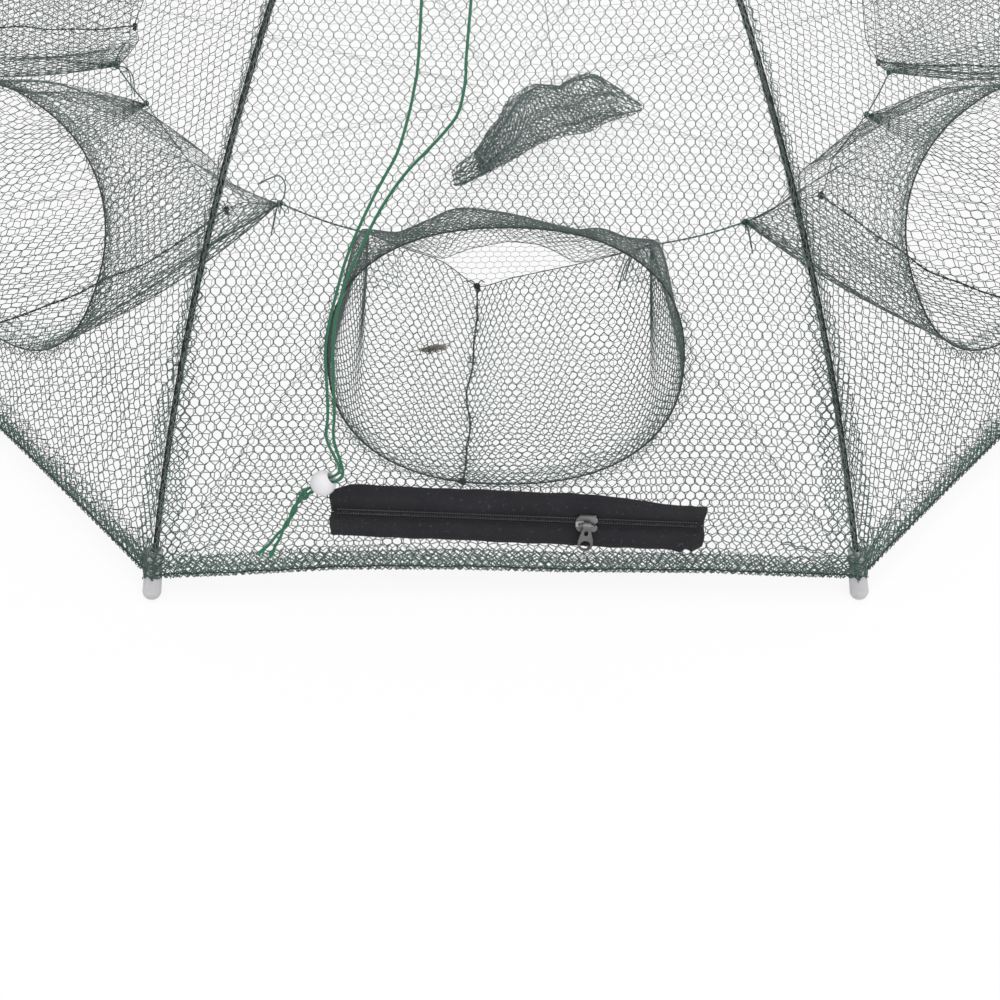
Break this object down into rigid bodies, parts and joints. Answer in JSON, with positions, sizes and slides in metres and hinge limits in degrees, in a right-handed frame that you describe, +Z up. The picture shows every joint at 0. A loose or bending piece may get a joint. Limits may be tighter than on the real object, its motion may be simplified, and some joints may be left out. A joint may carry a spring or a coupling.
{
  "type": "folding fish trap",
  "caption": "Umbrella-framed folding net fish trap with funnel entrances on every side, a zip in the front panel, a pull cord and a bait bag.",
  "frame": {"origin": "centre of the cage on the ground plane, under the crown", "axes": "+Z up; the panel with the zip faces -Y"},
  "size_m": [0.9466, 0.9466, 0.4101],
  "materials": {
    "bait_bag": "fine dark mesh, matt",
    "crown_cap": "moulded black plastic",
    "crown_hub": "moulded black plastic",
    "crown_ring": "drawn wire",
    "entrance": "knotless dark green net on a black wire hoop",
    "floor": "dark grey-green net",
    "gore": "dark grey-green net",
    "pull_bead": "white plastic bead",
    "pull_cord": "bright green braided cord",
    "rib": "spring steel wire",
    "rib_tip": "milky soft plastic",
    "runner_hub": "moulded black plastic",
    "stretcher": "flat steel strip",
    "zip_coil": "nylon coil",
    "zip_pull": "gunmetal",
    "zip_slider": "gunmetal",
    "zip_tape": "woven herringbone tape"
  },
  "bodies": {
    "crown": {"crown_hub": "crown_hub", "crown_ring": "crown_ring", "crown_cap": "crown_cap"},
    "runner": {"runner_hub": "runner_hub", "bait_bag": "bait_bag"},
    "rib_1": {"rib_1": "rib", "rib_tip_1": "rib_tip"},
    "stretcher_1": {"stretcher_1": "stretcher"},
    "panel_1": {"gore_1": "gore", "entrance_1": "entrance", "zip_tape": "zip_tape", "zip_coil": "zip_coil", "pull_cord": "pull_cord", "pull_bead": "pull_bead"},
    "floor_1": {"floor_1": "floor"},
    "rib_2": {"rib_2": "rib", "rib_tip_2": "rib_tip"},
    "stretcher_2": {"stretcher_2": "stretcher"},
    "panel_2": {"gore_2": "gore", "entrance_2": "entrance"},
    "floor_2": {"floor_2": "floor"},
    "rib_3": {"rib_3": "rib", "rib_tip_3": "rib_tip"},
    "stretcher_3": {"stretcher_3": "stretcher"},
    "panel_3": {"gore_3": "gore", "entrance_3": "entrance"},
    "floor_3": {"floor_3": "floor"},
    "rib_4": {"rib_4": "rib", "rib_tip_4": "rib_tip"},
    "stretcher_4": {"stretcher_4": "stretcher"},
    "panel_4": {"gore_4": "gore", "entrance_4": "entrance"},
    "floor_4": {"floor_4": "floor"},
    "rib_5": {"rib_5": "rib", "rib_tip_5": "rib_tip"},
    "stretcher_5": {"stretcher_5": "stretcher"},
    "panel_5": {"gore_5": "gore", "entrance_5": "entrance"},
    "floor_5": {"floor_5": "floor"},
    "rib_6": {"rib_6": "rib", "rib_tip_6": "rib_tip"},
    "stretcher_6": {"stretcher_6": "stretcher"},
    "panel_6": {"gore_6": "gore", "entrance_6": "entrance"},
    "floor_6": {"floor_6": "floor"},
    "rib_7": {"rib_7": "rib", "rib_tip_7": "rib_tip"},
    "stretcher_7": {"stretcher_7": "stretcher"},
    "panel_7": {"gore_7": "gore", "entrance_7": "entrance"},
    "floor_7": {"floor_7": "floor"},
    "rib_8": {"rib_8": "rib", "rib_tip_8": "rib_tip"},
    "stretcher_8": {"stretcher_8": "stretcher"},
    "panel_8": {"gore_8": "gore", "entrance_8": "entrance"},
    "floor_8": {"floor_8": "floor"},
    "zip_slider": {"zip_slider": "zip_slider"},
    "zip_pull": {"zip_pull": "zip_pull"}
  },
  "joints": [
    {"name": "umbrella_fold", "type": "hinge", "parent": "crown", "child": "rib_1", "pos_m": [-0.01148, -0.02772, 0.39301], "axis": [0.9239, -0.3827, 0], "range_deg": [0, 50]},
    {"name": "rib_2_fold", "type": "hinge", "parent": "crown", "child": "rib_2", "pos_m": [0.01148, -0.02772, 0.39301], "axis": [0.9239, 0.3827, 0], "range_deg": [0, 50]},
    {"name": "rib_3_fold", "type": "hinge", "parent": "crown", "child": "rib_3", "pos_m": [0.02772, -0.01148, 0.39301], "axis": [0.3827, 0.9239, 0], "range_deg": [0, 50]},
    {"name": "rib_4_fold", "type": "hinge", "parent": "crown", "child": "rib_4", "pos_m": [0.02772, 0.01148, 0.39301], "axis": [-0.3827, 0.9239, 0], "range_deg": [0, 50]},
    {"name": "rib_5_fold", "type": "hinge", "parent": "crown", "child": "rib_5", "pos_m": [0.01148, 0.02772, 0.39301], "axis": [-0.9239, 0.3827, 0], "range_deg": [0, 50]},
    {"name": "rib_6_fold", "type": "hinge", "parent": "crown", "child": "rib_6", "pos_m": [-0.01148, 0.02772, 0.39301], "axis": [-0.9239, -0.3827, 0], "range_deg": [0, 50]},
    {"name": "rib_7_fold", "type": "hinge", "parent": "crown", "child": "rib_7", "pos_m": [-0.02772, 0.01148, 0.39301], "axis": [-0.3827, -0.9239, 0], "range_deg": [0, 50]},
    {"name": "rib_8_fold", "type": "hinge", "parent": "crown", "child": "rib_8", "pos_m": [-0.02772, -0.01148, 0.39301], "axis": [0.3827, -0.9239, 0], "range_deg": [0, 50]},
    {"name": "stretcher_1_swing", "type": "hinge", "parent": "rib_1", "child": "stretcher_1", "pos_m": [-0.03886, -0.09382, 0.35655], "axis": [0.9239, -0.3827, 0], "range_deg": [-100.1, 0]},
    {"name": "stretcher_2_swing", "type": "hinge", "parent": "rib_2", "child": "stretcher_2", "pos_m": [0.03886, -0.09382, 0.35655], "axis": [0.9239, 0.3827, 0], "range_deg": [-100.1, 0]},
    {"name": "stretcher_3_swing", "type": "hinge", "parent": "rib_3", "child": "stretcher_3", "pos_m": [0.09382, -0.03886, 0.35655], "axis": [0.3827, 0.9239, 0], "range_deg": [-100.1, 0]},
    {"name": "stretcher_4_swing", "type": "hinge", "parent": "rib_4", "child": "stretcher_4", "pos_m": [0.09382, 0.03886, 0.35655], "axis": [-0.3827, 0.9239, 0], "range_deg": [-100.1, 0]},
    {"name": "stretcher_5_swing", "type": "hinge", "parent": "rib_5", "child": "stretcher_5", "pos_m": [0.03886, 0.09382, 0.35655], "axis": [-0.9239, 0.3827, 0], "range_deg": [-100.1, 0]},
    {"name": "stretcher_6_swing", "type": "hinge", "parent": "rib_6", "child": "stretcher_6", "pos_m": [-0.03886, 0.09382, 0.35655], "axis": [-0.9239, -0.3827, 0], "range_deg": [-100.1, 0]},
    {"name": "stretcher_7_swing", "type": "hinge", "parent": "rib_7", "child": "stretcher_7", "pos_m": [-0.09382, 0.03886, 0.35655], "axis": [-0.3827, -0.9239, 0], "range_deg": [-100.1, 0]},
    {"name": "stretcher_8_swing", "type": "hinge", "parent": "rib_8", "child": "stretcher_8", "pos_m": [-0.09382, -0.03886, 0.35655], "axis": [0.3827, -0.9239, 0], "range_deg": [-100.1, 0]},
    {"name": "runner_slide", "type": "slide", "parent": "crown", "child": "runner", "axis": [0, 0, -1], "range_m": [0, 0.08368], "deforming": ["bait_bag"]},
    {"name": "panel_1_fold", "type": "hinge", "parent": "crown", "child": "panel_1", "pos_m": [0, -0.02772, 0.39301], "axis": [1, 0, 0], "range_deg": [0, 45.1], "deforming": ["gore_1", "entrance_1", "pull_cord"]},
    {"name": "panel_2_fold", "type": "hinge", "parent": "crown", "child": "panel_2", "pos_m": [0.0196, -0.0196, 0.39301], "axis": [0.7071, 0.7071, 0], "range_deg": [0, 45.1], "deforming": ["gore_2", "entrance_2"]},
    {"name": "panel_3_fold", "type": "hinge", "parent": "crown", "child": "panel_3", "pos_m": [0.02772, 0, 0.39301], "axis": [0, 1, 0], "range_deg": [0, 45.1], "deforming": ["gore_3", "entrance_3"]},
    {"name": "panel_4_fold", "type": "hinge", "parent": "crown", "child": "panel_4", "pos_m": [0.0196, 0.0196, 0.39301], "axis": [-0.7071, 0.7071, 0], "range_deg": [0, 45.1], "deforming": ["gore_4", "entrance_4"]},
    {"name": "panel_5_fold", "type": "hinge", "parent": "crown", "child": "panel_5", "pos_m": [0, 0.02772, 0.39301], "axis": [-1, 0, 0], "range_deg": [0, 45.1], "deforming": ["gore_5", "entrance_5"]},
    {"name": "panel_6_fold", "type": "hinge", "parent": "crown", "child": "panel_6", "pos_m": [-0.0196, 0.0196, 0.39301], "axis": [-0.7071, -0.7071, 0], "range_deg": [0, 45.1], "deforming": ["gore_6", "entrance_6"]},
    {"name": "panel_7_fold", "type": "hinge", "parent": "crown", "child": "panel_7", "pos_m": [-0.02772, 0, 0.39301], "axis": [0, -1, 0], "range_deg": [0, 45.1], "deforming": ["gore_7", "entrance_7"]},
    {"name": "panel_8_fold", "type": "hinge", "parent": "crown", "child": "panel_8", "pos_m": [-0.0196, -0.0196, 0.39301], "axis": [0.7071, -0.7071, 0], "range_deg": [0, 45.1], "deforming": ["gore_8", "entrance_8"]},
    {"name": "floor_1_fold", "type": "hinge", "parent": "panel_1", "child": "floor_1", "pos_m": [0, -0.46474, 0.012], "axis": [1, 0, 0], "range_deg": [0, 45.1], "deforming": ["floor_1"]},
    {"name": "floor_2_fold", "type": "hinge", "parent": "panel_2", "child": "floor_2", "pos_m": [0.32862, -0.32862, 0.012], "axis": [0.7071, 0.7071, 0], "range_deg": [0, 45.1], "deforming": ["floor_2"]},
    {"name": "floor_3_fold", "type": "hinge", "parent": "panel_3", "child": "floor_3", "pos_m": [0.46474, 0, 0.012], "axis": [0, 1, 0], "range_deg": [0, 45.1], "deforming": ["floor_3"]},
    {"name": "floor_4_fold", "type": "hinge", "parent": "panel_4", "child": "floor_4", "pos_m": [0.32862, 0.32862, 0.012], "axis": [-0.7071, 0.7071, 0], "range_deg": [0, 45.1], "deforming": ["floor_4"]},
    {"name": "floor_5_fold", "type": "hinge", "parent": "panel_5", "child": "floor_5", "pos_m": [0, 0.46474, 0.012], "axis": [-1, 0, 0], "range_deg": [0, 45.1], "deforming": ["floor_5"]},
    {"name": "floor_6_fold", "type": "hinge", "parent": "panel_6", "child": "floor_6", "pos_m": [-0.32862, 0.32862, 0.012], "axis": [-0.7071, -0.7071, 0], "range_deg": [0, 45.1], "deforming": ["floor_6"]},
    {"name": "floor_7_fold", "type": "hinge", "parent": "panel_7", "child": "floor_7", "pos_m": [-0.46474, 0, 0.012], "axis": [0, -1, 0], "range_deg": [0, 45.1], "deforming": ["floor_7"]},
    {"name": "floor_8_fold", "type": "hinge", "parent": "panel_8", "child": "floor_8", "pos_m": [-0.32862, -0.32862, 0.012], "axis": [0.7071, -0.7071, 0], "range_deg": [0, 45.1], "deforming": ["floor_8"]},
    {"name": "zip_run", "type": "slide", "parent": "panel_1", "child": "zip_slider", "axis": [0.9991, -0.0197, -0.037], "range_m": [-0.1267, 0.0537]},
    {"name": "zip_pull_lift", "type": "hinge", "parent": "zip_slider", "child": "zip_pull", "pos_m": [0.04297, -0.45883, 0.04797], "axis": [-0.9991, 0.0197, 0.037], "range_deg": [0, 150]}
  ],
  "couplings": [
    {"joint": "rib_2_fold", "follows": "umbrella_fold", "ratio": 1},
    {"joint": "rib_3_fold", "follows": "umbrella_fold", "ratio": 1},
    {"joint": "rib_4_fold", "follows": "umbrella_fold", "ratio": 1},
    {"joint": "rib_5_fold", "follows": "umbrella_fold", "ratio": 1},
    {"joint": "rib_6_fold", "follows": "umbrella_fold", "ratio": 1},
    {"joint": "rib_7_fold", "follows": "umbrella_fold", "ratio": 1},
    {"joint": "rib_8_fold", "follows": "umbrella_fold", "ratio": 1},
    {"joint": "stretcher_1_swing", "follows": "umbrella_fold", "ratio": -2},
    {"joint": "stretcher_2_swing", "follows": "umbrella_fold", "ratio": -2},
    {"joint": "stretcher_3_swing", "follows": "umbrella_fold", "ratio": -2},
    {"joint": "stretcher_4_swing", "follows": "umbrella_fold", "ratio": -2},
    {"joint": "stretcher_5_swing", "follows": "umbrella_fold", "ratio": -2},
    {"joint": "stretcher_6_swing", "follows": "umbrella_fold", "ratio": -2},
    {"joint": "stretcher_7_swing", "follows": "umbrella_fold", "ratio": -2},
    {"joint": "stretcher_8_swing", "follows": "umbrella_fold", "ratio": -2},
    {"joint": "runner_slide", "follows": "umbrella_fold", "m_per_rad": 0.095773},
    {"joint": "panel_1_fold", "follows": "umbrella_fold", "ratio": 0.9},
    {"joint": "panel_2_fold", "follows": "umbrella_fold", "ratio": 0.9},
    {"joint": "panel_3_fold", "follows": "umbrella_fold", "ratio": 0.9},
    {"joint": "panel_4_fold", "follows": "umbrella_fold", "ratio": 0.9},
    {"joint": "panel_5_fold", "follows": "umbrella_fold", "ratio": 0.9},
    {"joint": "panel_6_fold", "follows": "umbrella_fold", "ratio": 0.9},
    {"joint": "panel_7_fold", "follows": "umbrella_fold", "ratio": 0.9},
    {"joint": "panel_8_fold", "follows": "umbrella_fold", "ratio": 0.9},
    {"joint": "floor_1_fold", "follows": "umbrella_fold", "ratio": 0.9},
    {"joint": "floor_2_fold", "follows": "umbrella_fold", "ratio": 0.9},
    {"joint": "floor_3_fold", "follows": "umbrella_fold", "ratio": 0.9},
    {"joint": "floor_4_fold", "follows": "umbrella_fold", "ratio": 0.9},
    {"joint": "floor_5_fold", "follows": "umbrella_fold", "ratio": 0.9},
    {"joint": "floor_6_fold", "follows": "umbrella_fold", "ratio": 0.9},
    {"joint": "floor_7_fold", "follows": "umbrella_fold", "ratio": 0.9},
    {"joint": "floor_8_fold", "follows": "umbrella_fold", "ratio": 0.9}
  ]
}
